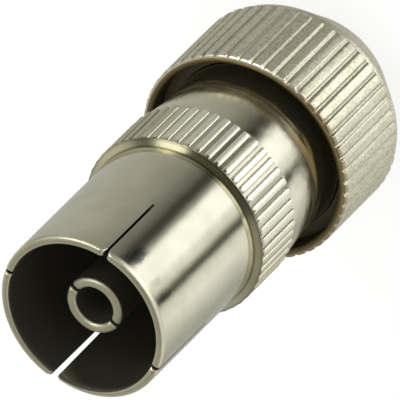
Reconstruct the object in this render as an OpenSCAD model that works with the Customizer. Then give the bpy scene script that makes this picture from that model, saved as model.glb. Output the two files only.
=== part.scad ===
// Screw-clamp coaxial aerial socket, standing on the rear face of its cap.
// Millimetres. The axis is Z: the cap's rear face lies at 0 and the slotted sleeve points up.

/* [Socket sleeve] */
// Inner diameter of the sleeve, where the plug's outer tube goes in
bore_d = 9.5; // [9.3:0.05:9.8]
// Wall of the sleeve
sleeve_wall = 0.5; // [0.4:0.05:0.65]
// Length of the sleeve, from the collar to the rim
sleeve_len = 10.4; // [9:0.1:13]
// Depth of the socket, from the rim to its floor
socket_depth = 10.4; // [9.4:0.1:11]
// Number of spring slots in the sleeve
slot_count = 4; // [2:1:6]
// Width of a spring slot
slot_w = 0.25; // [0.2:0.05:0.5]
// Length of a spring slot
slot_len = 5.5; // [3:0.1:7]
// Rounding of the finger corners beside a slot
finger_round = 0.3; // [0.1:0.05:0.6]
// Rounding of the rim's outer edge
rim_round = 0.22; // [0.1:0.01:0.26]
// Rounding of the rim's inner edge
lead_in = 0.22; // [0.1:0.01:0.26]

/* [Grip band and neck] */
// Diameter of the neck, and of the band under its ridges
neck_d = 11.4; // [11.3:0.05:11.8]
// Length of the neck, with the band at its front
neck_len = 6.2; // [5:0.1:7.5]
// Rounding of the band's front edge
band_round = 0.35; // [0.1:0.01:0.4]
// Number of ridges round the band
ridge_count = 52; // [40:4:60]
// Length of a ridge
ridge_len = 3.7; // [2:0.1:4.2]
// Height of a ridge above the neck
ridge_h = 0.14; // [0.1:0.01:0.25]
// Width of a ridge at its top
ridge_w = 0.34; // [0.26:0.02:0.42]
// Distance from the band's front to the ridges
ridge_margin = 0.18; // [0.1:0.02:0.5]

/* [Spigot and thread] */
// Length of the slight taper behind the neck
neck_taper = 0.8; // [0.4:0.1:1.2]
// Radial gap between the spigot and the cap's mouth
spigot_gap = 0.55; // [0.4:0.05:0.8]
// Length of the spigot
spigot_len = 2.4; // [2:0.1:3.5]
// Step from the spigot down to the threaded tail
thread_step = 0.2; // [0.15:0.05:0.4]
// Length of the threaded tail
thread_len = 2.95; // [2.4:0.05:4]
// Bevel at the tail's end
tail_bevel = 0.35; // [0.1:0.05:0.5]
// Wall of the tail round its bore, where the cable's end goes in
tail_wall = 1; // [0.8:0.05:1.1]

/* [Cap nut] */
// Length of the cap
cap_len = 9.5; // [8.8:0.1:11]
// Diameter of the cap over its teeth
cap_d = 13.3; // [13.1:0.05:14]
// Number of teeth round the cap
tooth_count = 52; // [40:4:60]
// Height of a tooth
tooth_h = 0.22; // [0.12:0.01:0.26]
// Width of a tooth at its top
tooth_w = 0.42; // [0.3:0.02:0.5]
// Bevel at the ends of the teeth
tooth_bevel = 0.14; // [0.08:0.01:0.25]
// Length of the tapered rear end
taper_len = 3; // [2:0.1:3.4]
// Plain length between the taper and the teeth
cap_plain = 0.4; // [0.2:0.05:1]
// Diameter of the rear face
rear_d = 8; // [7.8:0.05:8.8]
// Bevel at the rear face's edge
rear_bevel = 0.12; // [0.05:0.01:0.2]
// Width of the rim round the cap's mouth
mouth_rim = 0.28; // [0.2:0.02:0.4]
// Space between the mouth's floor and the spigot's end
mouth_gap = 0.2; // [0.1:0.05:0.5]
// Hole for the cable in the rear face
cable_hole_d = 7; // [6.6:0.05:7.2]
// Bevel round the cable hole
hole_bevel = 0.12; // [0.05:0.01:0.2]
// Thickness of the lip round the cable hole
lip_t = 0.9; // [0.6:0.05:1.2]
// Height at which the tapered seat inside ends
seat_top = 3.2; // [2.6:0.1:3.6]

/* [Centre contact] */
// Diameter of the pin that the contact takes
pin_d = 2.4; // [2.3:0.02:2.5]
// Outer diameter of the contact's tube
contact_d = 3.56; // [3.3:0.02:3.8]
// Distance of the contact's front behind the sleeve's rim
contact_recess = 1.35; // [0.8:0.05:2]
// Depth of the pin hole
pin_depth = 7.6; // [6:0.1:8.5]
// Width of the saw cut through the contact's front
contact_slit_w = 0.25; // [0.15:0.01:0.4]
// Length of the saw cut
contact_slit_len = 5; // [3:0.1:5.8]
// Turn of the saw cut from the sleeve's slots
contact_turn = -14; // [-45:1:45]
// Rounding of the contact's front edges
contact_round = 0.22; // [0.1:0.01:0.22]
// Diameter of the rear barrel that takes the cable's wire
barrel_d = 4.4; // [4.2:0.1:4.8]
// Length of the rear barrel
barrel_len = 5; // [4:0.1:5]
// Diameter of the wire hole
wire_d = 1.4; // [1:0.1:1.6]
// Depth of the wire hole
wire_depth = 4.2; // [3.2:0.1:5]

/* [Wire screw] */
// Diameter of the wire screw's shank
screw_d = 1.7; // [1.5:0.05:2]
// Diameter of the wire screw's head
screw_head_d = 2.8; // [2.4:0.1:3]
// Height of the wire screw's head
screw_head_h = 0.9; // [0.7:0.05:1.1]
// Width of the driver slot
driver_w = 0.4; // [0.3:0.05:0.6]
// Depth of the driver slot
driver_depth = 0.45; // [0.3:0.05:0.5]
// Distance of the screw from the barrel's end
screw_inset = 2; // [1.6:0.1:2.4]

/* [Insulator] */
// Thickness of the web that the insulator seats against
web_t = 1.2; // [0.8:0.1:1.6]
// Width of the ledge that the web leaves inside the tail's bore
web_ledge = 0.6; // [0.4:0.05:0.9]
// Length of the insulator behind the web
insulator_len = 3.4; // [2.6:0.1:4]

/* [Cable claw] */
// Height of the claw's tips above the rear face
tip_h = 1.5; // [1.2:0.1:2]
// Length of the claw
claw_len = 3.7; // [3.2:0.1:4.4]
// Length of the claw's uncut ring
claw_ring = 1; // [0.6:0.1:1.4]
// Number of cuts across the claw
claw_cuts = 3; // [2:1:4]
// Width of a cut
claw_cut_w = 0.6; // [0.4:0.05:1]
// Number of gripping grooves inside the claw
grip_grooves = 3; // [2:1:4]
// Depth of a gripping groove
grip_depth = 0.15; // [0.08:0.01:0.2]

/* [Fits] */
// Radial clearance of the cap's thread on the tail
thread_fit = 0.05; // [0.03:0.01:0.08]
// Radial clearance of pieces that are pushed together
push_fit = 0.02; // [0.01:0.01:0.04]
// Radial clearance round the claw, and of the cable in it
claw_fit = 0.12; // [0.06:0.02:0.16]
// Space between the claw and the end of the tail
seat_gap = 0.05; // [0.03:0.01:0.1]

/* [Hidden] */
$fn = 96;

// How far a cutter reaches past the face it cuts
over = 1;
// How far a rounding's cutter reaches past its corner
edge_over = 0.05;
// Grooves stop this far above the surface they end on
root_lift = 0.03;

bore_r = bore_d / 2;
sleeve_r = bore_r + sleeve_wall;
neck_r = neck_d / 2;
ridge_r = neck_r + ridge_h;
cap_r = cap_d / 2;
cap_plain_r = cap_r - tooth_h;
mouth_r = cap_plain_r - mouth_rim;
spigot_r = mouth_r - spigot_gap;
thread_r = spigot_r - thread_step;
tail_bore_r = thread_r - tail_wall;
web_hole_r = tail_bore_r - web_ledge;
cap_bore_r = thread_r + thread_fit;
rear_r = rear_d / 2;
cable_r = cable_hole_d / 2;
claw_r = cap_bore_r - claw_fit;
claw_bore_r = cable_r + claw_fit / 2;
pin_r = pin_d / 2;
contact_r = contact_d / 2;
barrel_r = barrel_d / 2;

z_teeth = taper_len + cap_plain;
z_claw_top = tip_h + claw_len;
z_tail = z_claw_top + seat_gap;
z_spigot = z_tail + thread_len;
z_taper = z_spigot + spigot_len;
z_neck = z_taper + neck_taper;
z_collar = z_neck + neck_len;
z_mouth = z_spigot - mouth_gap;
z_ridge_top = z_collar - ridge_margin;
z_ridge = z_ridge_top - ridge_len;
z_rim = z_collar + sleeve_len;
z_floor = z_rim - socket_depth;
z_web = z_floor - web_t;
z_insulator = z_web - insulator_len;
z_barrel = z_insulator - barrel_len;
z_contact = z_rim - contact_recess;
z_screw = z_barrel + screw_inset;

// Radius of the tapered seat inside the cap at a height
function seat_r(z) = cable_r + (cap_bore_r - cable_r) * (z - lip_t) / (seat_top - lip_t);

// The part of a square corner that a rounding takes away, in a profile
module corner_off(at, side, radius) {
    translate(at)
        difference() {
            translate([side[0] < 0 ? -edge_over : -radius, side[1] < 0 ? -edge_over : -radius])
                square(radius + edge_over);
            translate([-side[0] * radius, -side[1] * radius])
                circle(r = radius);
        }
}

// One groove between two ridges, as a wedge that lies along Z
module groove(floor_r, top_r, floor_w, top_w, z_from, z_to) {
    spread = (top_w - floor_w) / (top_r - floor_r);
    outer_r = top_r + over;
    outer_w = top_w + over * spread;
    translate([0, 0, z_from])
        linear_extrude(z_to - z_from)
            polygon([
                [floor_r, -floor_w / 2],
                [outer_r, -outer_w / 2],
                [outer_r, outer_w / 2],
                [floor_r, floor_w / 2]
            ]);
}

// Grooves all round, so that straight ridges stay between them
module knurl_cut(count, floor_r, top_r, ridge_top, z_from, z_to) {
    top_w = 2 * PI * top_r / count - ridge_top;
    for (i = [0 : count - 1])
        rotate(i * 360 / count)
            groove(floor_r, top_r, top_w / 2, top_w, z_from, z_to);
}

// A spring slot that opens at the rim, with rounded finger corners
module spring_slot() {
    rotate([90, 0, 90])
        translate([0, 0, bore_r - over])
            linear_extrude(sleeve_wall + 2 * over) {
                translate([-slot_w / 2, z_rim - slot_len])
                    square([slot_w, slot_len + over]);
                for (side = [-1, 1])
                    corner_off([side * slot_w / 2, z_rim], [-side, 1], finger_round);
            }
}

module shell_profile() {
    difference() {
        polygon([
            [tail_bore_r, z_tail],
            [thread_r - tail_bevel, z_tail],
            [thread_r, z_tail + tail_bevel],
            [thread_r, z_spigot],
            [spigot_r, z_spigot],
            [spigot_r, z_taper],
            [neck_r, z_neck],
            [neck_r, z_ridge],
            [ridge_r, z_ridge + ridge_h],
            [ridge_r, z_ridge_top - ridge_h],
            [neck_r, z_ridge_top],
            [neck_r, z_collar],
            [sleeve_r, z_collar],
            [sleeve_r, z_rim],
            [bore_r, z_rim],
            [bore_r, z_floor],
            [web_hole_r, z_floor],
            [web_hole_r, z_web],
            [tail_bore_r, z_web]
        ]);
        corner_off([ridge_r, z_collar], [1, 1], band_round);
        corner_off([sleeve_r, z_rim], [1, 1], rim_round);
        corner_off([bore_r, z_rim], [-1, 1], lead_in);
    }
}

// Turned brass shell: slotted sleeve, grip band, neck, spigot and threaded tail in one piece
module body_shell() {
    color("silver")
        difference() {
            rotate_extrude()
                shell_profile();
            for (i = [0 : slot_count - 1])
                rotate(i * 360 / slot_count)
                    spring_slot();
            knurl_cut(ridge_count, neck_r + root_lift, ridge_r, ridge_w, z_ridge, z_ridge_top);
        }
}

// Plastic bush that seats against the web and carries the contact
module insulator() {
    hole_r = contact_r + push_fit;
    color("dimgray")
        rotate_extrude()
            polygon([
                [hole_r, z_insulator],
                [tail_bore_r - push_fit, z_insulator],
                [tail_bore_r - push_fit, z_web],
                [web_hole_r - push_fit, z_web],
                [web_hole_r - push_fit, z_floor],
                [hole_r, z_floor]
            ]);
}

module contact_profile() {
    wire_r = wire_d / 2;
    difference() {
        polygon([
            [wire_r, z_barrel],
            [barrel_r, z_barrel],
            [barrel_r, z_insulator],
            [contact_r, z_insulator],
            [contact_r, z_contact],
            [pin_r, z_contact],
            [pin_r, z_contact - pin_depth],
            [0, z_contact - pin_depth - pin_r / 2],
            [0, z_barrel + wire_depth + wire_r / 2],
            [wire_r, z_barrel + wire_depth]
        ]);
        corner_off([contact_r, z_contact], [1, 1], contact_round);
        corner_off([pin_r, z_contact], [-1, 1], contact_round);
        corner_off([barrel_r, z_barrel], [1, -1], contact_round);
    }
}

// Split tube that grips the plug's pin, with a barrel for the cable's wire behind
module socket_contact() {
    color("gold")
        rotate(contact_turn)
            difference() {
                rotate_extrude()
                    contact_profile();
                translate([-contact_r - over, -contact_slit_w / 2, z_contact - contact_slit_len])
                    cube([2 * contact_r + 2 * over, contact_slit_w, contact_slit_len + over]);
                translate([0, 0, z_screw])
                    rotate([0, 90, 0])
                        cylinder(d = screw_d + 2 * push_fit, h = barrel_r + over);
            }
}

// Cheese-head screw that clamps the cable's wire in the barrel
module conductor_screw() {
    color("slategray")
        rotate(contact_turn)
            translate([barrel_r + push_fit, 0, z_screw])
                rotate([0, 90, 0])
                    difference() {
                        union() {
                            cylinder(d = screw_head_d, h = screw_head_h);
                            translate([0, 0, -barrel_r + wire_d / 2])
                                cylinder(d = screw_d, h = barrel_r);
                        }
                        translate([-screw_head_d, -driver_w / 2, screw_head_h - driver_depth])
                            cube([2 * screw_head_d, driver_w, driver_depth + over]);
                    }
}

module claw_profile() {
    groove_step = (claw_len - claw_ring) / (grip_grooves + 1);
    difference() {
        polygon([
            [claw_bore_r, tip_h],
            [seat_r(tip_h) - claw_fit, tip_h],
            [claw_r, seat_top],
            [claw_r, z_claw_top],
            [claw_bore_r, z_claw_top]
        ]);
        for (i = [1 : grip_grooves])
            translate([claw_bore_r, tip_h + i * groove_step])
                polygon([
                    [-over, -grip_depth],
                    [0, -grip_depth],
                    [grip_depth, 0],
                    [0, grip_depth],
                    [-over, grip_depth]
                ]);
    }
}

// Split claw that the cap's tapered seat closes on the cable
module cable_claw() {
    color("goldenrod")
        difference() {
            rotate_extrude()
                claw_profile();
            for (i = [0 : claw_cuts - 1])
                rotate(i * 180 / claw_cuts)
                    translate([-cap_r, -claw_cut_w / 2, tip_h - over])
                        cube([2 * cap_r, claw_cut_w, claw_len - claw_ring + over]);
        }
}

module cap_profile() {
    polygon([
        [cable_r + hole_bevel, 0],
        [rear_r - rear_bevel, 0],
        [rear_r, rear_bevel],
        [cap_plain_r, taper_len],
        [cap_plain_r, z_teeth],
        [cap_r, z_teeth + tooth_bevel],
        [cap_r, cap_len - tooth_bevel],
        [cap_plain_r, cap_len],
        [mouth_r, cap_len],
        [mouth_r, z_mouth],
        [cap_bore_r, z_mouth],
        [cap_bore_r, seat_top],
        [cable_r, lip_t],
        [cable_r, hole_bevel]
    ]);
}

// Knurled cap that screws onto the tail and closes the claw
module cap_nut() {
    color("lightgray")
        difference() {
            rotate_extrude()
                cap_profile();
            knurl_cut(tooth_count, cap_plain_r + root_lift, cap_r, tooth_w, z_teeth, cap_len + over);
        }
}

body_shell();
insulator();
socket_contact();
conductor_screw();
cable_claw();
cap_nut();
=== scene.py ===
import math

import bpy
import numpy as np
from mathutils import Matrix, Vector


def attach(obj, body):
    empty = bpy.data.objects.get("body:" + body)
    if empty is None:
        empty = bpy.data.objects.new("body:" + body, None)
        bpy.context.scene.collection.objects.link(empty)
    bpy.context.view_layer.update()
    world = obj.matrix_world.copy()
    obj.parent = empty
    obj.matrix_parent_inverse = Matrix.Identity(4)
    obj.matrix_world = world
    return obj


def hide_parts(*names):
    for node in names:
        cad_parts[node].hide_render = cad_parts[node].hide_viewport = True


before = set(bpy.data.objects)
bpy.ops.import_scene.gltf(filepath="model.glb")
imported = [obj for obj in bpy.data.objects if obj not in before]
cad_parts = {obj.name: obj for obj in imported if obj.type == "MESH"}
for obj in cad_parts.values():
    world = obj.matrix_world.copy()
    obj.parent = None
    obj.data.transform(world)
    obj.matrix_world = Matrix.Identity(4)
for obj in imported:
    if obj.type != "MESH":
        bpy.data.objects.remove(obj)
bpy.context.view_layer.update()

chance = np.random.default_rng(61)

# Sizes are in mm, as in the part's source, and heights are measured up from the cap's rear face.
MM = 0.001
FULL_TURN, QUARTER = 2 * math.pi, math.pi / 2

# Shell sizes
TAIL_BORE_R, WEB_HOLE_R, BORE_R = 4.4, 3.8, 4.75
THREAD_R, NECK_FOOT_R, NECK_R, RIDGE_R, SLEEVE_R = 5.4, 5.36, 5.64, 5.77, 5.25
Z_TAIL, Z_SPIGOT, Z_FOOT, Z_NECK, Z_RIDGE = 5.25, 8.2, 10.75, 13.4, 13.66
Z_WEB, Z_COLLAR, Z_SLOT, Z_RIM = 16.4, 17.6, 22.5, 28.0
Z_BAND = Z_RIDGE - 0.08
COLLAR_R, Z_COLLAR_UNDER, Z_COLLAR_EDGE = RIDGE_R - 0.03, Z_COLLAR - 0.21, Z_COLLAR - 0.16
TAIL_CHAMFER, RIM_ROUND = 0.35, 0.2

# Cap sizes
CAP_R, CAP_PLAIN_R, MOUTH_R, CAP_BORE_R = 6.65, 6.43, 6.15, 5.45
REAR_R, CABLE_R, REAR_BEVEL = 4.2, 3.5, 0.12
Z_CABLE, Z_CAP_TAPER, Z_SEAT, Z_TEETH, Z_MOUTH, Z_CAP = 0.9, 3.0, 3.2, 3.4, 8.0, 9.5

# Centre contact sizes
CONTACT_R, PIN_R, BARREL_R, WIRE_R, POINT_R = 1.78, 1.2, 2.2, 0.7, 0.004
Z_BARREL, Z_WIRE, Z_INSULATOR = 8.0, 12.2, 13.0
Z_PIN, Z_SLIT, Z_CONTACT = 19.05, 21.65, 26.65
WIRE_POINT, PIN_POINT = 0.35, 0.6     # height of the drill's cone at the end of each hole
SLIT_W, SLIT_TURN = 0.28, -14.0

# The cap's teeth, and as many ridges on the shell's band
TEETH = 52
PITCH = FULL_TURN / TEETH

# The thread between cap and tail
THREAD_PITCH, THREAD_ROOT, THREAD_SLOPE = 0.75, 1.25, 4.0
THREAD_LEAD_IN, THREAD_LEAD_OUT = (0.0, 0.15), (-0.25, -0.1)
TAIL_THREAD_DEPTH, CAP_THREAD_DEPTH = 0.32, 0.3
Z_TAIL_THREAD, Z_CAP_THREAD = Z_TAIL + 0.3, Z_SEAT + 0.05

# The camera's side of the part, and how high it looks from
VIEW_ANGLE, VIEW_HEIGHT = math.radians(-108.6), math.radians(46.0)


# Turning

FILLET_STEP = 15.0     # degrees between two rows of a rounding
FILLET_EDGE = 0.012    # from a rounding to the row that keeps the flat beside it flat
CREASE = math.radians(38)
SLOT_MARGIN = 0.002    # radians


def smooth(low, high, x):
    t = np.clip((x - low) / (high - low), 0.0, 1.0)
    return t * t * (3 - 2 * t)


def wrapped(a):
    """An angle brought to half a turn either way."""
    return (a + math.pi) % FULL_TURN - math.pi


def add_object(name, data):
    made = bpy.data.objects.new(name, data)
    bpy.context.scene.collection.objects.link(made)
    return made


def turned_rows(corners, closed=True):
    """Rows (radius, height, zone) along a turning outline. A corner is (radius, height,
    rounding, steps to the next corner, zone); steps is a count or a list of fractions."""
    count = len(corners)
    points = [np.array(corner[:2], float) for corner in corners]
    fillets = []
    for i, corner in enumerate(corners):
        p, before, after = points[i], points[i - 1], points[(i + 1) % count]
        rounding = corner[2]
        if rounding <= 0 or (not closed and i in (0, count - 1)):
            fillets.append([p])
            continue
        to_before = (before - p) / np.linalg.norm(before - p)
        to_after = (after - p) / np.linalg.norm(after - p)
        half = math.acos(np.clip(to_before @ to_after, -1, 1)) / 2
        run = rounding / math.tan(half)
        inwards = (to_before + to_after) / np.linalg.norm(to_before + to_after)
        middle = p + inwards * rounding / math.sin(half)
        start, end = p + to_before * run - middle, p + to_after * run - middle
        sweep = math.pi - 2 * half
        pieces = max(2, round(math.degrees(sweep) / FILLET_STEP))
        arc = []
        for k in range(pieces + 1):
            of_start, of_end = math.sin(sweep * (1 - k / pieces)), math.sin(sweep * k / pieces)
            arc.append(middle + (of_start * start + of_end * end) / math.sin(sweep))
        beside = run + FILLET_EDGE
        fillets.append([p + to_before * beside, *arc, p + to_after * beside])
    rows = []
    for i, corner in enumerate(corners):
        steps, zone = corner[3:]
        rows += [(*q, zone) for q in fillets[i]]
        if i == count - 1 and not closed:
            break
        a, b = fillets[i][-1], fillets[(i + 1) % count][0]
        shares = [k / steps for k in range(1, steps)] if isinstance(steps, int) else steps
        rows += [(*(a + (b - a) * share), zone) for share in shares]
    return rows


def rows_of(rows, wanted):
    return [i for i, (radius, height, zone) in enumerate(rows) if zone == wanted]


def pitch_columns(shares):
    """Angles round the axis: each pitch has the same graded columns about its groove."""
    offsets = sorted({-share for share in shares} | set(shares))
    half = math.pi / TEETH
    return np.array([(2 * k + off) * half for k in range(TEETH) for off in offsets if off > -1])


def tooth_of(a):
    """The number of the tooth or ridge at each angle, and the angle from its middle."""
    return np.floor(a / PITCH).astype(int) % TEETH, ((a / PITCH) % 1.0 - 0.5) * PITCH


def turned_piece(name, rows, columns, shape, closed=True, slots=None):
    """A mesh swept from rows of an outline round the columns' angles. slots is (faces to leave
    out, first row, last row), and the sides and floor of each slot are closed."""
    n, m = len(rows), len(columns)
    zone = np.array([row[2] for row in rows])[:, None]
    r = np.repeat(np.array([[row[0]] for row in rows]), m, 1)
    z = np.repeat(np.array([[row[1]] for row in rows]), m, 1)
    a = np.repeat(np.array(columns)[None, :], n, 0)
    r, a, z = shape(r, a, z, zone)
    points = np.stack([r * np.cos(a), r * np.sin(a), z], -1).reshape(-1, 3) * MM
    at = np.arange(n * m).reshape(n, m)
    next_row, next_column = np.roll(at, -1, 0), np.roll(at, -1, 1)
    corners = np.stack([at, next_column, np.roll(next_row, -1, 1), next_row], -1)
    quads = corners if closed else corners[:-1]
    keep = np.ones(quads.shape[:2], bool)
    closing = []
    if slots:
        gone, first, last = slots
        keep[first:last] &= ~gone
        for j in np.flatnonzero(gone):
            k = (j + 1) % m
            closing.append([at[first, j], at[first, k], at[last, k], at[last, j]])
        for j in range(m):
            if gone[j] == gone[j - 1]:
                continue
            for i in range((last - first) // 2):
                low, high = first + i, last - i
                wall = [at[low, j], at[low + 1, j], at[high - 1, j], at[high, j]]
                if wall[1] == wall[2]:
                    wall.pop(2)
                closing.append(wall if gone[j - 1] else wall[::-1])
    faces = quads[keep].tolist() + [list(map(int, face)) for face in closing]
    if not closed:
        faces += [at[0].tolist(), at[-1].tolist()[::-1]]
    mesh = bpy.data.meshes.new(name)
    mesh.from_pydata(points.tolist(), [], faces)
    mesh.validate()
    mesh.update()
    mesh.polygons.foreach_set("use_smooth", [True] * len(mesh.polygons))
    mesh.set_sharp_from_angle(angle=CREASE)
    return add_object(name, mesh)


def slot_faces(columns, centres, half_angle):
    """Which columns' faces lie in a slot."""
    following = np.append(columns[1:], columns[0] + FULL_TURN)
    middle = (columns + following) / 2
    gone = np.zeros(len(columns), bool)
    for centre in centres:
        gone |= np.abs(wrapped(middle - centre)) < half_angle + SLOT_MARGIN
    return gone


def corner_drop(from_slot, rounding):
    """How far the corner beside a slot is rounded down."""
    inset = np.clip(rounding - from_slot, 0, rounding)
    return rounding - np.sqrt(np.maximum(0, rounding ** 2 - inset ** 2))


def thread_cut(a, z, from_z, to_z):
    """0 on a right-hand thread's crest, 1 at its root, fading out at both ends."""
    turn = (z / THREAD_PITCH - a / FULL_TURN) % 1.0
    cut = np.clip(THREAD_ROOT - THREAD_SLOPE * np.abs(turn - 0.5), 0, 1)
    lead_in = smooth(from_z + THREAD_LEAD_IN[0], from_z + THREAD_LEAD_IN[1], z)
    lead_out = smooth(to_z + THREAD_LEAD_OUT[0], to_z + THREAD_LEAD_OUT[1], z)
    return cut * lead_in * (1 - lead_out)


# Shell

GROOVE_SHARES = (0.0, 0.16, 0.28, 0.38, 0.48, 0.7, 1.0)
BAND_STEPS = [0.02, 0.037, 0.053, 0.07, 0.087, 0.105, 0.13, 0.3, 0.5, 0.75]
FINGER_STEPS = [0.25, 0.5, 0.7, 0.82, 0.9, 0.95]

# A ridge stands round a narrow core: half the core's width, then from it to the top's edge and the foot
RIDGE_CORE, RIDGE_TOP, RIDGE_FOOT = 0.1, 0.1, 0.15
RIDGE_HALF, RIDGE_CROWN, RIDGE_NOSE = 0.22, 0.3, 0.16
RIDGE_UNEVEN, RIDGE_SHIFT = 0.06, 0.05
ridge_height = 1 + RIDGE_UNEVEN * chance.standard_normal(TEETH)
ridge_low = chance.uniform(-RIDGE_SHIFT, RIDGE_SHIFT, TEETH)

# Spring fingers, with how far each is bent in at its two corners
FINGER_BEND = ((0.0, 0.06), (0.26, 0.0), (0.01, 0.01), (0.02, 0.01))
FINGER_CURL = 1.3
FINGER_CORNER, CORNER_Z, CORNER_RUN = 0.3, Z_RIM - 1.6, 1.1
UPPER_SLOT_W, LEFT_SLOT_W, RIGHT_SLOT_W = 0.15, 0.1, 0.1
RIGHT_SLOT = math.radians(175.4)
LOW_SLOT = ((1.08, 1.05), (1.31, 1.36))      # its sides off the view's middle, at its end and at the rim
SLOT_EDGE = GROOVE_SHARES[2] * PITCH / 2     # the columns beside a slot, before they are set to its sides
SLOT_REACH = (0.06, 0.5)                     # radians over which the columns near a slot move with it
slot_centres = [k * QUARTER for k in range(4)]

shell_rows = turned_rows([
    (TAIL_BORE_R, Z_TAIL, 0.08, 1, "tail"),
    (THREAD_R - TAIL_CHAMFER, Z_TAIL, 0.0, 2, "tail"),
    (THREAD_R, Z_TAIL + TAIL_CHAMFER, 0.0, 26, "thread"),
    (THREAD_R, Z_SPIGOT, 0.0, 1, "spigot"),
    (NECK_FOOT_R, Z_SPIGOT, 0.02, 3, "spigot"),
    (NECK_FOOT_R, Z_FOOT, 2.0, 4, "neck"),
    (NECK_R, Z_NECK, 1.2, 1, "neck"),
    (NECK_R, Z_BAND, 0.0, BAND_STEPS, "band"),
    (NECK_R, Z_COLLAR_UNDER, 0.0, 1, "band"),
    (COLLAR_R, Z_COLLAR_UNDER, 0.0, 1, "collar"),
    (COLLAR_R, Z_COLLAR_EDGE, 0.02, 1, "collar"),
    (SLEEVE_R, Z_COLLAR, 0.0, 3, "sleeve"),
    (SLEEVE_R, Z_SLOT, 0.0, FINGER_STEPS, "finger"),
    (SLEEVE_R, Z_RIM, RIM_ROUND, [], "finger"),
    (BORE_R, Z_RIM, RIM_ROUND, [1 - step for step in FINGER_STEPS[::-1]], "finger"),
    (BORE_R, Z_SLOT, 0.0, 2, "bore"),
    (BORE_R, Z_COLLAR, 0.08, 1, "bore"),
    (WEB_HOLE_R, Z_COLLAR, 0.05, 1, "bore"),
    (WEB_HOLE_R, Z_WEB, 0.05, 1, "bore"),
    (TAIL_BORE_R, Z_WEB, 0.0, 2, "bore"),
])
shell_columns = pitch_columns(GROOVE_SHARES)
shell_gone = slot_faces(shell_columns, slot_centres, math.asin(SLOT_EDGE))
finger_rows = rows_of(shell_rows, "finger")


def slot_sides(r, lift):
    """The angles of both sides of each slot at radius r, from its end, lift 0, to the rim, lift 1."""
    left, right, upper = [np.arcsin(wide / 2 / r) for wide in (LEFT_SLOT_W, RIGHT_SLOT_W, UPPER_SLOT_W)]
    low = [VIEW_ANGLE + math.pi + np.arcsin((end + (rim - end) * lift) / r) for end, rim in LOW_SLOT]
    return [(-left, left), low, (RIGHT_SLOT - right, RIGHT_SLOT + right),
            (slot_centres[3] - upper, slot_centres[3] + upper)]


def bent_fingers(r, a, z, zone):
    """The fingers, each sprung in by a little, with the slots between them and rounded corners."""
    rows = (zone == "finger") | ((zone == "bore") & (z == Z_SLOT))
    lift = np.clip((z - Z_SLOT) / (Z_RIM - Z_SLOT), 0, 1)
    share = a / QUARTER % 1.0
    bends = np.array(FINGER_BEND)[np.floor(a / QUARTER).astype(int) % 4]
    bend = bends[..., 0] * (1 - share) ** 2 + bends[..., 1] * share ** 2
    r = r - rows * bend * lift ** FINGER_CURL
    sides = slot_sides(r, lift)
    turned = a.copy()
    for centre, (low, high) in zip(slot_centres, sides):
        off = wrapped(a - centre)
        low, high = wrapped(low - centre), wrapped(high - centre)
        moved = (low + high) / 2 + ((high - low) / 2 - SLOT_EDGE) * np.clip(off / SLOT_EDGE, -1, 1)
        turned += rows * moved * (1 - smooth(*SLOT_REACH, np.abs(off)))
    from_slot = np.min([np.abs(wrapped(turned - side)) for pair in sides for side in pair], 0) * r
    near_rim = np.clip((z - CORNER_Z) / CORNER_RUN, 0, 1)
    return r, turned, z - rows * corner_drop(from_slot, FINGER_CORNER) * near_rim


def shell_shape(r, a, z, zone):
    k, off = tooth_of(a)
    across = np.abs(off) * RIDGE_R
    beyond = np.maximum(0, Z_RIDGE + ridge_low[k] + RIDGE_NOSE - z)
    from_core = np.hypot(np.maximum(0, across - RIDGE_CORE), beyond)
    crown = 1 - RIDGE_CROWN * np.minimum(across / RIDGE_HALF, 1) ** 2
    rise = np.clip(crown * (1 - smooth(RIDGE_TOP, RIDGE_FOOT, from_core)) * ridge_height[k], 0, 1)
    r = r + (zone == "band") * (RIDGE_R - NECK_R) * rise
    r = r - (zone == "thread") * TAIL_THREAD_DEPTH * thread_cut(a, z, Z_TAIL_THREAD, Z_SPIGOT)
    return bent_fingers(r, a, z, zone)


body_shell = turned_piece("sleeve_and_shell", shell_rows, shell_columns, shell_shape,
                          slots=(shell_gone, finger_rows[0], finger_rows[-1] + 1))
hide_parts("body_shell")
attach(body_shell, "shell")


# Cap

TOOTH_SHARES = (0.0, 0.08, 0.16, 0.24, 0.32, 0.4, 0.48, 0.7, 1.0)
TOOTH_STEPS = [0.01, 0.022, 0.034, 0.046, 0.3, 0.6, 0.9, 0.958, 0.965, 0.972, 0.979, 0.985, 0.99, 0.995]
TOOTH_DEPTH, TOOTH_TOP, TOOTH_FOOT = 0.085, 0.2, 0.4
TOOTH_START = (-0.06, 0.12)     # where a tooth rises, from the height at which it begins
TOOTH_DEEP = (-0.6, -0.15)      # where the grooves get deeper, from the cap's front
FRONT_BEVEL = 0.05
TOOTH_UNEVEN, TOOTH_SHIFT, TOOTH_REAR = 0.08, 0.02, (-0.03, 0.04)
tooth_height = 1 - TOOTH_UNEVEN * chance.random(TEETH)
tooth_shift = chance.uniform(-TOOTH_SHIFT, TOOTH_SHIFT, TEETH)
tooth_rear = chance.uniform(*TOOTH_REAR, TEETH)

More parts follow.
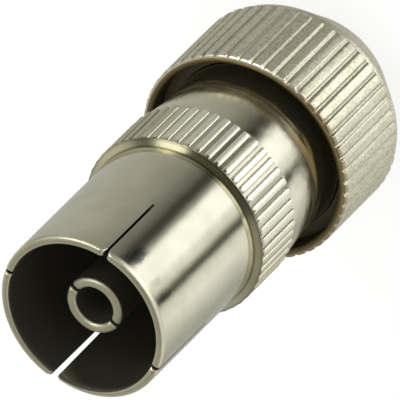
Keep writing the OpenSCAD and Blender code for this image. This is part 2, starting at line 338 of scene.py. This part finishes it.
cap_rows = turned_rows([
    (CABLE_R + REAR_BEVEL, 0.0, 0.0, 2, "rear"),
    (REAR_R - REAR_BEVEL, 0.0, 0.04, 1, "rear"),
    (REAR_R, REAR_BEVEL, 0.04, 3, "rear"),
    (CAP_PLAIN_R, Z_CAP_TAPER, 0.5, 1, "teeth"),
    (CAP_PLAIN_R, Z_TEETH + TOOTH_START[0], 0.0, TOOTH_STEPS, "teeth"),
    (CAP_PLAIN_R, Z_CAP, 0.04, 1, "face"),
    (MOUTH_R, Z_CAP, 0.2, 2, "mouth"),
    (MOUTH_R, Z_MOUTH, 0.1, 1, "mouth"),
    (CAP_BORE_R, Z_MOUTH, 0.0, 44, "inner_thread"),
    (CAP_BORE_R, Z_SEAT, 0.0, 2, "seat"),
    (CABLE_R, Z_CABLE, 0.03, 1, "seat"),
    (CABLE_R, REAR_BEVEL, 0.0, 1, "rear"),
])


def cap_shape(r, a, z, zone):
    k, off = tooth_of(a)
    across = np.abs(off * CAP_R + tooth_shift[k])
    depth = TOOTH_DEPTH * (1 + smooth(Z_CAP + TOOTH_DEEP[0], Z_CAP + TOOTH_DEEP[1], z))
    tooth = (1 - smooth(TOOTH_TOP, TOOTH_FOOT, across)) * tooth_height[k]
    begins = Z_TEETH + tooth_rear[k]
    rise = CAP_R - CAP_PLAIN_R - depth * (1 - tooth)
    rise = rise * smooth(begins + TOOTH_START[0], begins + TOOTH_START[1], z)
    rise = np.minimum(rise, np.maximum(0, FRONT_BEVEL + (Z_CAP - z)))
    r = r + (zone == "teeth") * rise
    r = r + (zone == "inner_thread") * CAP_THREAD_DEPTH * thread_cut(a, z, Z_CAP_THREAD, Z_MOUTH)
    return r, a, z


cap_nut = turned_piece("toothed_cap", cap_rows, pitch_columns(TOOTH_SHARES), cap_shape)
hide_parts("cap_nut")
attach(cap_nut, "cap")


# Centre contact

SLIT_STEPS = [0.3, 0.6, 0.82, 0.92, 0.97]
SLIT_GRADING = np.array([0.006, 0.015, 0.026, 0.05])
HALF_SHARES = np.concatenate([SLIT_GRADING, np.linspace(0.08, 0.92, 34), 1 - SLIT_GRADING[::-1]])
CONTACT_CORNER, CONTACT_CORNER_Z, CONTACT_CORNER_RUN = 0.2, Z_CONTACT - 0.85, 0.5
CONTACT_ROUND = 0.22

contact_rows = turned_rows([
    (POINT_R, Z_WIRE + WIRE_POINT, 0.0, 1, "wire"),
    (WIRE_R, Z_WIRE, 0.0, 2, "wire"),
    (WIRE_R, Z_BARREL, 0.08, 1, "barrel"),
    (BARREL_R, Z_BARREL, 0.2, 3, "barrel"),
    (BARREL_R, Z_INSULATOR, 0.0, 1, "barrel"),
    (CONTACT_R, Z_INSULATOR, 0.0, 4, "tube"),
    (CONTACT_R, Z_SLIT, 0.0, SLIT_STEPS, "split"),
    (CONTACT_R, Z_CONTACT, CONTACT_ROUND, [], "split"),
    (PIN_R, Z_CONTACT, CONTACT_ROUND, [1 - step for step in SLIT_STEPS[::-1]], "split"),
    (PIN_R, Z_SLIT, 0.0, 2, "pin_hole"),
    (PIN_R, Z_PIN, 0.0, 2, "pin_hole"),
    (POINT_R, Z_PIN - PIN_POINT, 0.0, 1, "pin_hole"),
], closed=False)
split_rows = rows_of(contact_rows, "split")
outer_row = split_rows[2]      # a row on the tube's outside, below its rounded end

slit_centres = [math.radians(SLIT_TURN) % FULL_TURN, math.radians(SLIT_TURN + 180)]
slit_edge = math.asin(SLIT_W / 2 / CONTACT_R)
between_slits = slit_edge + (math.pi - 2 * slit_edge) * HALF_SHARES
half_columns = np.concatenate([[-slit_edge, 0.0, slit_edge], between_slits])
contact_columns = np.sort(np.concatenate([half_columns + centre for centre in slit_centres]) % FULL_TURN)
contact_gone = slot_faces(contact_columns, slit_centres, slit_edge)
slit_columns = np.flatnonzero(contact_gone != np.roll(contact_gone, 1))


def contact_shape(r, a, z, zone):
    """The slits get straight parallel sides, and their corners are rounded."""
    for j in slit_columns:
        side = 1.0 if contact_gone[j - 1] else -1.0
        for centre in slit_centres:
            if abs(wrapped(a[0, j] - centre)) < QUARTER:
                straight = centre + side * np.arcsin(np.minimum(1, SLIT_W / 2 / r[:, j]))
                a[:, j] = np.where(zone[:, 0] == "split", straight, a[:, j])
    from_slit = np.min([np.abs(wrapped(a - edge)) for edge in a[outer_row][slit_columns]], 0) * r
    near_end = np.clip((z - CONTACT_CORNER_Z) / CONTACT_CORNER_RUN, 0, 1)
    return r, a, z - (zone == "split") * corner_drop(from_slit, CONTACT_CORNER) * near_end


socket_contact = turned_piece("split_contact", contact_rows, contact_columns, contact_shape, closed=False,
                              slots=(contact_gone, split_rows[0], split_rows[-1] + 1))
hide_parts("socket_contact")
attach(socket_contact, "shell")


# Finishes

class Value:
    """A socket that takes part in Python arithmetic; each step adds a Math node."""

    def __init__(self, finish, socket):
        self.finish, self.socket = finish, socket

    def step(self, operation, first, second):
        return self.finish.node("Math", {"operation": operation}, {0: first, 1: second})

    def __add__(self, other):
        return self.step("ADD", self, other)

    def __radd__(self, other):
        return self.step("ADD", other, self)

    def __sub__(self, other):
        return self.step("SUBTRACT", self, other)

    def __rsub__(self, other):
        return self.step("SUBTRACT", other, self)

    def __mul__(self, other):
        return self.step("MULTIPLY", self, other)

    def __rmul__(self, other):
        return self.step("MULTIPLY", other, self)

    def __truediv__(self, other):
        return self.step("DIVIDE", self, other)

    def __rtruediv__(self, other):
        return self.step("DIVIDE", other, self)

    def __pow__(self, other):
        return self.step("POWER", self, other)

    def __rpow__(self, other):
        return self.step("POWER", other, self)


class Finish:
    """The nodes of one material or of the world."""

    def __init__(self, tree):
        self.tree = tree
        tree.nodes.clear()

    def node(self, kind, settings=None, sockets=None, out=0):
        """A node with its settings, then the values or links of its sockets; gives one output."""
        made = self.tree.nodes.new("ShaderNode" + kind)
        for key, value in (settings or {}).items():
            if key == "stops":
                ramp = made.color_ramp
                while len(ramp.elements) < len(value):
                    ramp.elements.new(0.5)
                for element, (place, colour) in zip(ramp.elements, value):
                    element.position, element.color = place, colour
            else:
                setattr(made, key, value)
        for key, value in (sockets or {}).items():
            if isinstance(value, Value):
                self.tree.links.new(value.socket, made.inputs[key])
            else:
                made.inputs[key].default_value = value
        return Value(self, made.outputs[out])

    def out(self, kind, shader):
        self.tree.links.new(shader.socket, self.tree.nodes.new("ShaderNode" + kind).inputs[0])

    def point(self):
        """The surface point in mm, in the part's own frame."""
        metres = self.node("TexCoord", out="Object")
        return self.node("VectorMath", {"operation": "SCALE"}, {0: metres, "Scale": 1 / MM})

    def split(self, vector):
        return [self.node("SeparateXYZ", None, {0: vector}, out) for out in range(3)]

    def turned(self, at):
        """A point's radius and height."""
        x, y, z = self.split(at)
        return (x * x + y * y) ** 0.5, z

    def facing_round(self, at, radius):
        """How squarely the surface faces round the axis, 0 to 1, as the side of a slot does."""
        x, y = self.split(at)[:2]
        facing_x, facing_y = self.split(self.node("TexCoord", out="Normal"))[:2]
        share = (facing_y * x - facing_x * y) / radius
        return share * share

    def along(self, at, angle):
        """How far out a point lies on one side of the part."""
        way = (math.cos(angle), math.sin(angle), 0.0)
        return self.node("VectorMath", {"operation": "DOT_PRODUCT"}, {0: at, 1: way}, out="Value")

    def between(self, value, low, high):
        """0 up to low, 1 from high on; the other way round where high is the smaller."""
        return self.node("MapRange", {"interpolation_type": "SMOOTHSTEP"},
                         {"Value": value, "From Min": low, "From Max": high})

    def past(self, value, edge, low, high):
        """0 up to edge + low, 1 from edge + high on."""
        return self.between(value, edge + low, edge + high)

    def short_of(self, value, edge, low, high):
        """1 up to edge + low, 0 from edge + high on."""
        return 1 - self.past(value, edge, low, high)

    def noise(self, at, scale, detail=3.0, roughness=0.55):
        """Noise from 0 to 1, with scale in waves a mm."""
        return self.node("TexNoise", None, {"Vector": at, "Scale": scale, "Detail": detail,
                                            "Roughness": roughness})

    def mix(self, share, first, second):
        return self.node("Mix", {"data_type": "RGBA"}, {0: share, 6: first, 7: second}, out=2)

    def scaled(self, at, x, y, z):
        return self.node("VectorMath", {"operation": "MULTIPLY"}, {0: at, 1: (x, y, z)})

    def seen(self):
        """1 for rays from the camera, from glossy surfaces and through clear ones, each by itself."""
        kinds = ("Is Camera Ray", "Is Glossy Ray", "Is Transmission Ray")
        return [self.node("LightPath", None, None, kind) for kind in kinds]


def start_finish(name):
    material = bpy.data.materials.new(name)
    material.use_nodes = True
    return material, Finish(material.node_tree)


def close_finish(finish, colour, roughness, relief, depth, metallic):
    """The finish's shader; depth is how deep a relief of 1 is, in thousandths of a mm."""
    normal = finish.node("Bump", None, {"Strength": 1.0, "Distance": depth * MM * MM, "Height": relief})
    shader = finish.node("BsdfPrincipled", None, {"Base Color": colour, "Roughness": roughness,
                                                  "Metallic": metallic, "Normal": normal})
    finish.out("OutputMaterial", shader)


def rgba(r, g, b):
    return (r, g, b, 1.0)


NICKEL, NICKEL_DULL, NICKEL_LIGHT = rgba(0.80, 0.775, 0.61), rgba(0.70, 0.67, 0.51), rgba(0.99, 0.975, 0.85)
# Grime that also serves as painted shade, then painted shade for the slots' sides and for the bores
GRIME_AND_SHADE, SLOT_SIDE_SHADE, BORE_SHADE = rgba(0.20, 0.17, 0.10), rgba(0.075, 0.06, 0.035), rgba(0.036, 0.034, 0.024)
# Painted shade for the neck by the cap, a painted reflection of the cap's brass face, and dark bluish
# blotches
NECK_SHADE, CAP_FACE_REFLECTION, RIM_BLOTCH = rgba(0.075, 0.057, 0.02), rgba(0.38, 0.27, 0.08), rgba(0.10, 0.11, 0.14)
# Painted shade deep in the cap's mouth, and the brass of the cap's front face
MOUTH_SHADE, BRASS_EDGE = rgba(0.13, 0.105, 0.055), rgba(0.31, 0.245, 0.13)
# A painted highlight for the teeth's tips, and tips worn to the brass
TIP_HIGHLIGHT, WORN_TIP = rgba(0.88, 0.83, 0.66), rgba(0.44, 0.36, 0.24)
# Near black for the insulator, standing in for the shade deep in the sleeve
INSULATOR_SHADE_DARK, INSULATOR_SHADE_PALE = rgba(0.012, 0.012, 0.011), rgba(0.03, 0.029, 0.026)
ZINC, ZINC_WARM = rgba(0.55, 0.56, 0.57), rgba(0.68, 0.66, 0.6)
BRASS, BRASS_DULL = rgba(0.66, 0.46, 0.17), rgba(0.52, 0.35, 0.13)
FLOOR_GREY, FLOOR_PALE = rgba(0.93, 0.93, 0.93), rgba(0.95, 0.95, 0.95)

LIT_RIDGES = VIEW_ANGLE - math.radians(5)     # the side where the ridges get a painted highlight
WORN_TEETH = VIEW_ANGLE - QUARTER                # the side where the teeth's tips are worn to the brass; the other side's tips get a painted highlight

# Dark bluish blotches on the sleeve: degrees from the view's middle, distance below the rim, reach, strength
RIM_BLOTCHES = ((-3, 1.3, 0.62, 0.8), (16, 1.2, 0.36, 0.22), (27, 1.1, 0.5, 0.65))
BLOTCH_DRAW = 0.5                                 # heights count this much, so blotches run along the sleeve


def rim_blotches(f, at):
    """Ragged marks on the sleeve below its rim."""
    streaks = f.noise(f.scaled(at, 1.6, 1.6, 0.7), 1.4, 4.0, 0.65)
    drawn = f.scaled(at, 1.0, 1.0, BLOTCH_DRAW)
    blotches = 0.0
    for degrees, below, reach, strength in RIM_BLOTCHES:
        turned = VIEW_ANGLE - math.radians(degrees)
        mark = (SLEEVE_R * math.cos(turned), SLEEVE_R * math.sin(turned), (Z_RIM - below) * BLOTCH_DRAW)
        off = f.node("VectorMath", {"operation": "DISTANCE"}, {0: drawn, 1: mark}, out="Value")
        blotches = blotches + f.between(off + streaks * 0.9 - 0.45, reach, reach * 0.25) * strength
    return blotches


def shell_nickel():
    material, f = start_finish("shell_nickel")
    at = f.point()
    radius, height = f.turned(at)
    facing_round = f.facing_round(at, radius)
    # Patterns of the plating
    clouds = f.noise(at, 0.35, 4.0)
    grain = f.noise(at, 8.0, 3.0, 0.6)
    turning = f.noise(f.scaled(at, 0.15, 0.15, 16.0), 1.0, 3.0, 0.7)
    pits = f.between(f.noise(at, 5.0, 2.0), 0.62, 0.76)
    dents = f.noise(at, 0.75, 1.5, 0.4)
    mottle = f.noise(at, 1.5, 2.0, 0.5)
    rings = f.noise(f.scaled(at, 0.55, 0.55, 4.0), 0.7, 1.5, 0.45)
    # Places on the shell
    inside = f.short_of(radius, BORE_R, 0.03, 0.07) * f.past(height, Z_COLLAR, -0.6, -0.3)
    behind = f.short_of(radius, TAIL_BORE_R, 0.1, 0.2)
    outside = f.past(radius, SLEEVE_R, -0.05, 0.0)
    rim = f.past(height, Z_RIM, -0.5, -0.25)
    near_rim = f.past(height, Z_RIM, -2.4, -0.8)
    sawn = f.past(height, Z_SLOT, -0.1, -0.05) * f.between(facing_round, 0.4, 0.7)
    corner = f.past(height, Z_COLLAR, -0.04, 0.0) * f.short_of(height, Z_COLLAR, 0.02, 0.12)
    corner = corner * f.past(radius, SLEEVE_R, -0.05, -0.01)
    collar = f.past(height, Z_COLLAR, -0.3, -0.24) * f.short_of(height, Z_COLLAR, 0.0, 0.04)
    collar = collar * f.past(radius, SLEEVE_R, 0.01, 0.05)
    collar_edge = f.past(radius, COLLAR_R, -0.19, -0.04)
    band = f.past(height, Z_NECK, 0.0, 0.3) * f.short_of(height, Z_COLLAR, -0.5, -0.35)
    ridge = band * f.past(radius, NECK_R, 0.015, 0.09)
    flanks = band * f.between(facing_round, 0.2, 0.6)
    ridge_highlight_side = f.between(f.along(at, LIT_RIDGES), 3.0, 4.0)
    neck = f.past(height, Z_SPIGOT, -0.2, 0.3) * f.short_of(height, Z_NECK, -0.8, -0.1)
    neck_foot = f.past(height, Z_CAP, 0.4, 0.7) * f.short_of(height, Z_CAP, 1.2, 1.8) * outside
    near_cap = f.short_of(height, Z_CAP, 0.6, 2.1) * outside
    cap_face_reflection = f.between(rings, 0.40, 0.72) * neck_foot
    # From the plating to the dirt, painted shade, painted highlight and painted reflection on it
    colour = f.mix(f.between(clouds, 0.35, 0.75), NICKEL, NICKEL_DULL)
    colour = f.mix(ridge, colour, NICKEL_DULL)
    # Painted highlight: the ridges' grain lighter on the side facing the view
    colour = f.mix(ridge * f.between(grain, 0.2, 0.5) * ridge_highlight_side, colour, NICKEL_LIGHT)
    # Painted shade on the ridges' flanks, in the grooves between them
    colour = f.mix(flanks * 0.22, colour, GRIME_AND_SHADE)
    # Painted shade on the neck by the cap's mouth, where the metal is also made a little dull
    colour = f.mix(near_cap * 0.88, colour, NECK_SHADE)
    # Painted reflection: golden streaks of the cap's brass face on the neck just above it
    colour = f.mix(cap_face_reflection * 0.85, colour, CAP_FACE_REFLECTION)
    # Painted shade: the collar darker, most at its outer edge, and a dark line in the corner at the sleeve's
    # foot
    colour = f.mix(collar * (0.08 + 0.4 * collar_edge) + corner * 0.7, colour, GRIME_AND_SHADE)
    colour = f.mix(rim_blotches(f, at), colour, RIM_BLOTCH)
    # Painted shade on the slots' sides
    colour = f.mix(sawn, colour, SLOT_SIDE_SHADE)
    # Painted shade inside the sleeve, where the metal is also made dull
    colour = f.mix(inside, colour, BORE_SHADE)
    colour = f.mix(behind * 0.6, colour, GRIME_AND_SHADE)
    roughness = 0.09 + clouds * 0.05 + pits * 0.06 + ridge * 0.3 + band * 0.1 + inside * 0.35
    roughness = roughness + rim * 0.28 + sawn * 0.2 + cap_face_reflection * 0.3 + neck * (0.02 + mottle * 0.12)
    relief = turning * 0.25 + grain * (0.2 + ridge * 0.9) - pits * 0.2
    relief = relief + dents * (2.0 + near_rim * 2.0 + neck * 4.0) + mottle * neck * 1.8
    close_finish(f, colour, roughness, relief, 4.0, 1 - inside - near_cap * 0.12)
    return material


def cap_nickel():
    material, f = start_finish("cap_nickel")
    at = f.point()
    radius, height = f.turned(at)
    # Patterns of the plating
    clouds = f.noise(at, 0.45, 4.0)
    grain = f.noise(at, 6.5, 4.0, 0.65)
    draw = f.noise(f.scaled(at, 9.0, 9.0, 0.8), 1.0, 3.0, 0.6)
    # Places on the cap
    teeth = f.past(height, Z_TEETH, -0.1, 0.1) * f.past(radius, CAP_PLAIN_R, -0.08, -0.01)
    groove = teeth * f.short_of(radius, CAP_R, -0.12, -0.05)
    flanks = teeth * f.between(f.facing_round(at, radius), 0.08, 0.3)
    tips = f.past(height, Z_CAP, -0.34, -0.24) * f.past(radius, CAP_PLAIN_R, 0.03, 0.07)
    tip_glint_to_wear = f.between(f.along(at, WORN_TEETH), -1.5, 1.5)
    front = f.past(height, Z_CAP, -0.14, -0.04)
    front_edge = front * f.short_of(radius, CAP_PLAIN_R, 0.0, 0.05)
    mouth = f.short_of(radius, MOUTH_R, 0.05, 0.21)
    deep = mouth * f.past(height, Z_SEAT, -0.2, 0.3) * (1 - front)
    mouth_floor = deep * f.short_of(height, Z_MOUTH, 0.05, 0.6)
    # From the plating to the dirt, painted shade and painted highlight on it
    colour = f.mix(f.between(clouds, 0.35, 0.75), NICKEL, NICKEL_DULL)
    colour = f.mix(f.between(grain, 0.5, 0.66) * 0.7, colour, NICKEL_LIGHT)
    colour = f.mix(f.between(grain, 0.48, 0.34) * 0.35, colour, GRIME_AND_SHADE)
    # Painted shade in the grooves and on the flanks of the teeth
    colour = f.mix(groove * 0.25, colour, GRIME_AND_SHADE)
    colour = f.mix(flanks * 0.45, colour, GRIME_AND_SHADE)
    # The tips get a painted highlight away from the worn side, and the brass of wear on it
    colour = f.mix(tips, colour, f.mix(tip_glint_to_wear, TIP_HIGHLIGHT, WORN_TIP))
    colour = f.mix(front_edge, colour, BRASS_EDGE)
    # Painted shade deep in the cap's mouth, where the metal is also made duller, and more at its floor
    colour = f.mix(deep, colour, MOUTH_SHADE)
    colour = f.mix(mouth_floor * 0.5, colour, BORE_SHADE)
    roughness = 0.42 + clouds * 0.1 - tips * 0.16 + mouth * 0.1
    close_finish(f, colour, roughness, grain + draw * 0.4, 14.0, 1 - deep * 0.6)
    return material


def contact_nickel():
    material, f = start_finish("contact_nickel")
    at = f.point()
    height = f.split(at)[2]
    clouds = f.noise(at, 0.9, 4.0)
    turning = f.noise(f.scaled(at, 0.3, 0.3, 20.0), 1.0, 3.0, 0.7)
    # Painted shade on the contact deep in the sleeve, where it is also made dull
    dark = f.past(height, Z_WEB, -0.4, 0.6) * f.short_of(height, Z_CONTACT, -0.21, -0.07)
    colour = f.mix(f.between(clouds, 0.3, 0.8), NICKEL, NICKEL_DULL)
    colour = f.mix(dark, colour, BORE_SHADE)
    close_finish(f, colour, 0.44 + clouds * 0.1, turning, 3.0, 1 - dark)
    return material


def insulator_shade_black():
    material, f = start_finish("insulator_shade_black")
    at = f.point()
    clouds = f.noise(at, 1.2, 4.0)
    grain = f.noise(at, 14.0, 3.0, 0.6)
    # The insulator is near black: painted shade deep in the sleeve
    colour = f.mix(clouds, INSULATOR_SHADE_DARK, INSULATOR_SHADE_PALE)
    close_finish(f, colour, 0.4 + grain * 0.2, grain, 8.0, 0.0)
    return material


def screw_zinc():
    material, f = start_finish("screw_zinc")
    at = f.point()
    clouds = f.noise(at, 1.6, 4.0)
    turning = f.noise(f.scaled(at, 14.0, 0.6, 0.6), 1.0, 2.0)
    colour = f.mix(clouds, ZINC, ZINC_WARM)
    close_finish(f, colour, 0.22 + clouds * 0.15, turning, 6.0, 1.0)
    return material


def claw_brass():
    material, f = start_finish("claw_brass")
    at = f.point()
    clouds = f.noise(at, 0.8, 4.0)
    turning = f.noise(f.scaled(at, 0.3, 0.3, 16.0), 1.0, 3.0, 0.7)
    colour = f.mix(clouds, BRASS, BRASS_DULL)
    close_finish(f, colour, 0.2 + clouds * 0.2, turning, 6.0, 1.0)
    return material


def dress(piece, material):
    piece.data.materials.clear()
    piece.data.materials.append(material)


def dress_node(name, material):
    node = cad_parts[name]
    if not node.material_slots:
        node.data.materials.append(material)
    for slot in node.material_slots:
        slot.material = material


dress(body_shell, shell_nickel())
dress(cap_nut, cap_nickel())
dress(socket_contact, contact_nickel())
dress_node("insulator", insulator_shade_black())
dress_node("conductor_screw", screw_zinc())
dress_node("cable_claw", claw_brass())


# Camera

FRAME = 400.0                            # pixels across the picture
SCALE = 17.65                            # pixels a mm
RIM_PIXEL = (82.4, 317.5)                # where the middle of the rim lies in the picture
SLANT_ACROSS, SLANT_UP = 0.7102, 0.704   # how the part's axis slants in the picture
CAMERA_FAR = 1000.0
AIM_Z = 15.0                             # the point of the axis that is CAMERA_FAR away
SENSOR = 36.0

towards = Vector((math.cos(VIEW_ANGLE), math.sin(VIEW_ANGLE), 0.0))
side = Vector((math.sin(VIEW_ANGLE), -math.cos(VIEW_ANGLE), 0.0))
to_camera = towards * math.cos(VIEW_HEIGHT) + Vector((0, 0, math.sin(VIEW_HEIGHT)))
down_axis = towards * math.sin(VIEW_HEIGHT) - Vector((0, 0, math.cos(VIEW_HEIGHT)))
image_x = SLANT_ACROSS * down_axis + SLANT_UP * side
image_y = SLANT_UP * down_axis - SLANT_ACROSS * side
aim = Vector((0, 0, Z_RIM)) + image_x * ((FRAME / 2 - RIM_PIXEL[0]) / SCALE)
aim = aim + image_y * ((RIM_PIXEL[1] - FRAME / 2) / SCALE)
aim = aim - to_camera * ((aim - Vector((0, 0, AIM_Z))) @ to_camera)

lens = bpy.data.cameras.new("camera")
lens.lens = SENSOR * SCALE * CAMERA_FAR / FRAME
lens.sensor_width = SENSOR
lens.clip_start, lens.clip_end = 0.01, 10.0
camera = add_object("camera", lens)
spin = Matrix((image_x, image_y, to_camera)).transposed().to_4x4()
camera.matrix_world = Matrix.Translation((aim + to_camera * CAMERA_FAR) * MM) @ spin
bpy.context.scene.camera = camera


# Floor, with its size in metres

FLOOR_REACH, FLOOR_Z = 4.0, -0.00003


def pale_floor():
    material, f = start_finish("pale_floor")
    colour = f.mix(f.noise(f.point(), 0.02, 3.0), FLOOR_GREY, FLOOR_PALE)
    paper = f.node("BsdfPrincipled", None, {"Base Color": colour, "Roughness": 0.8})
    glow = f.node("Emission", None, {"Color": rgba(1.0, 1.0, 1.0), "Strength": 1.0})
    from_camera, from_gloss, through = f.seen()
    white = f.node("MixShader", None, {0: (from_camera + from_gloss + through) * 0.85, 1: paper, 2: glow})
    f.out("OutputMaterial", white)
    return material


floor_mesh = bpy.data.meshes.new("floor")
floor_corners = [(x * FLOOR_REACH, y * FLOOR_REACH, FLOOR_Z) for x, y in ((-1, -1), (1, -1), (1, 1), (-1, 1))]
floor_mesh.from_pydata(floor_corners, [], [(0, 1, 2, 3)])
floor = add_object("floor", floor_mesh)
dress(floor, pale_floor())
floor.visible_glossy = False


# Light, with the lamp's size and height in metres

ROOM_STRENGTH = 1.3
LAMP_WIDTH, LAMP_POWER, LAMP_Z = 2.4, 34.0, 1.8

# Panels round the table: degrees from the camera's side, brightness
PANELS = [(-180, 0.46), (-110, 0.47), (-75, 0.42), (-45, 0.31), (-25, 0.16), (-16, 0.05), (-9, 0.07),
          (-3, 0.3), (2, 1.0), (7, 1.28), (29, 1.28), (35, 1.0), (44, 0.8), (49, 0.4), (53, 0.1),
          (58, 0.11), (63, 0.6), (69, 0.86), (84, 0.93), (100, 0.74), (118, 0.52), (132, 0.42), (180, 0.46)]

# Round patches: degrees from the camera's side and up, half width of the middle and with its edge, light
PATCHES = [
    (-64, 35, 15, 22, rgba(2.6, 2.6, 2.5)),
    (-131, 65, 3, 8, rgba(1.12, 1.1, 0.95)),
    (-136, 54, 2, 6, rgba(0.1, 0.097, 0.08)),
    (-145, 38, 4, 13, rgba(0.46, 0.45, 0.38)),
]
LOW_WINDOW, SIDE_STRIP = rgba(3.2, 3.18, 3.1), rgba(0.85, 0.85, 0.82)
BACK_DARK, BACK_PALE = rgba(0.1, 0.1, 0.09), rgba(0.68, 0.68, 0.65)
HORIZON, WALL, CEILING = rgba(0.77, 0.77, 0.77), rgba(0.24, 0.23, 0.186), rgba(0.06, 0.056, 0.045)

# Levels in the room, as the height of a ray of length 1: where each begins and where it is full
TABLE_EDGE, LOW_WINDOW_TOP, BACK_TOP = (-0.66, -0.54), (-0.3, -0.1), (-0.12, 0.02)
HORIZON_FOOT, HORIZON_TOP = (-0.16, -0.11), (0.02, 0.07)
WALL_FOOT, CEILING_EDGE = (0.45, 0.7), (0.9, 0.965)

# A ray's angle is scaled before it meets the panels, by less where the ray goes steeply down
SPREAD_RISE, SPREAD_LEVEL, SPREAD_MOST = 0.93, 1.67, 1.12

world = bpy.data.worlds.new("studio")
bpy.context.scene.world = world
world.use_nodes = True
room = Finish(world.node_tree)
ray_x, ray_y, ray_z = room.split(room.node("TexCoord", out="Generated"))
ray_front = ray_x * towards.x + ray_y * towards.y
ray_side = ray_x * side.x + ray_y * side.y
ray_angle = room.node("Math", {"operation": "ARCTAN2"}, {0: ray_side, 1: ray_front})


def panel_light(brightness):
    """Dim panels are a little warmer than bright ones."""
    level = brightness / ROOM_STRENGTH
    return rgba(level, level, level * (0.88 + 0.15 * min(brightness, 1.2)))


def patch(degrees, height, inner, outer):
    """1 inside a round patch as seen from the part."""
    flat, up = math.radians(degrees), math.radians(height)
    level = towards * math.cos(flat) + side * math.sin(flat)
    middle = level * math.cos(up) + Vector((0, 0, math.sin(up)))
    facing = ray_x * middle.x + ray_y * middle.y + ray_z * middle.z
    return room.between(facing, math.cos(math.radians(outer)), math.cos(math.radians(inner)))


def strip(degrees, inner, outer):
    """1 inside an upright strip at the table, by degrees from the camera's side."""
    off = room.node("Math", {"operation": "ABSOLUTE"}, {0: ray_angle - math.radians(degrees)})
    return room.between(off, math.radians(outer), math.radians(inner))


def room_light():
    spread = SPREAD_RISE * ray_z + SPREAD_LEVEL
    spread = room.node("Math", {"operation": "MINIMUM"}, {0: spread, 1: SPREAD_MOST})
    stops = [((degrees + 180) / 360, panel_light(brightness)) for degrees, brightness in PANELS]
    light = room.node("ValToRGB", {"stops": stops}, {"Fac": ray_angle * spread / FULL_TURN + 0.5})
    above_table = room.between(ray_z, *TABLE_EDGE)
    low = above_table * (1 - room.between(ray_z, *LOW_WINDOW_TOP))
    at_back = above_table * (1 - room.between(ray_z, *BACK_TOP))
    light = room.mix(low * strip(14, 10, 26), light, LOW_WINDOW)
    light = room.mix(above_table * strip(53, 4, 9), light, SIDE_STRIP)
    light = room.mix(at_back * (strip(-118, 9, 16) + strip(139, 7, 13)), light, BACK_DARK)
    light = room.mix(at_back * (strip(-146, 14, 20) + strip(112, 14, 20)), light, BACK_PALE)
    from_camera, from_gloss, through = room.seen()
    horizon = room.between(ray_z, *HORIZON_FOOT) * (1 - room.between(ray_z, *HORIZON_TOP))
    light = room.mix(horizon * (from_camera * 0.95 + from_gloss * 0.3 + through * 0.95), light, HORIZON)
    upper = room.mix(room.between(ray_z, *CEILING_EDGE), WALL, CEILING)
    light = room.mix(room.between(ray_z, *WALL_FOOT), light, upper)
    for *place, shine in PATCHES:
        light = room.mix(patch(*place), light, shine)
    return light


room.out("OutputWorld", room.node("Background", None, {"Color": room_light(), "Strength": ROOM_STRENGTH}))

lamp = bpy.data.lights.new("overhead", "AREA")
lamp.shape, lamp.size, lamp.energy = "DISK", LAMP_WIDTH, LAMP_POWER
overhead = add_object("overhead", lamp)
overhead.location = (0.0, 0.0, LAMP_Z)
overhead.visible_glossy = False

bpy.context.scene.view_settings.view_transform = "Standard"
